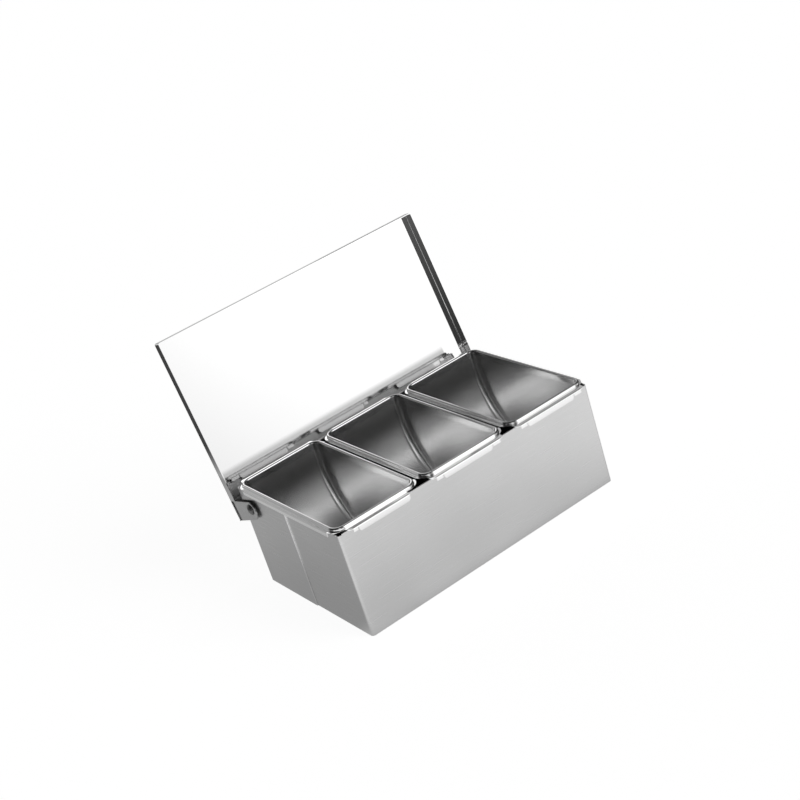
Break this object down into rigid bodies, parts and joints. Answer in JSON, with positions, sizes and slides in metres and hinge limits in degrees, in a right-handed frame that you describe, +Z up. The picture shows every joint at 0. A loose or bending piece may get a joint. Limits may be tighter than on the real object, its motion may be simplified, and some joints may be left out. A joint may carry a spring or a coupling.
{
  "type": "spice storage box",
  "caption": "Sheet steel box with round-bottomed lift-out pans in a row under one flanged lid that turns on rivets in the end walls.",
  "frame": {"origin": "centre of the box's underside", "axes": "+X to the right along the box, +Y to the back where the lid hinges, +Z up"},
  "size_m": [0.2696, 0.2144, 0.2239],
  "materials": {
    "body_steel": "satin",
    "lid_steel": "mirror polished",
    "pan_steel": "polished",
    "hinge_steel": "dull"
  },
  "bodies": {
    "box": {"front_sheet": "body_steel", "back_sheet": "body_steel", "base_plate": "body_steel", "left_rivet": "hinge_steel", "right_rivet": "hinge_steel", "left_washer": "hinge_steel", "right_washer": "hinge_steel", "left_spacer": "hinge_steel", "right_spacer": "hinge_steel"},
    "lid": {"lid": "lid_steel", "left_hinge_lug": "body_steel", "right_hinge_lug": "body_steel"},
    "left_pan": {"left_pan": "pan_steel"},
    "middle_pan": {"middle_pan": "pan_steel"},
    "right_pan": {"right_pan": "pan_steel"}
  },
  "joints": [
    {"name": "lid_hinge", "type": "hinge", "parent": "box", "child": "lid", "pos_m": [0, 0.0615, 0.078], "axis": [-1, 0, 0], "range_deg": [-109, 0]},
    {"name": "left_pan_lift", "type": "slide", "parent": "box", "child": "left_pan", "axis": [0, 0, 1], "range_m": [0, 0.115]},
    {"name": "middle_pan_lift", "type": "slide", "parent": "box", "child": "middle_pan", "axis": [0, 0, 1], "range_m": [0, 0.115]},
    {"name": "right_pan_lift", "type": "slide", "parent": "box", "child": "right_pan", "axis": [0, 0, 1], "range_m": [0, 0.115]}
  ]
}
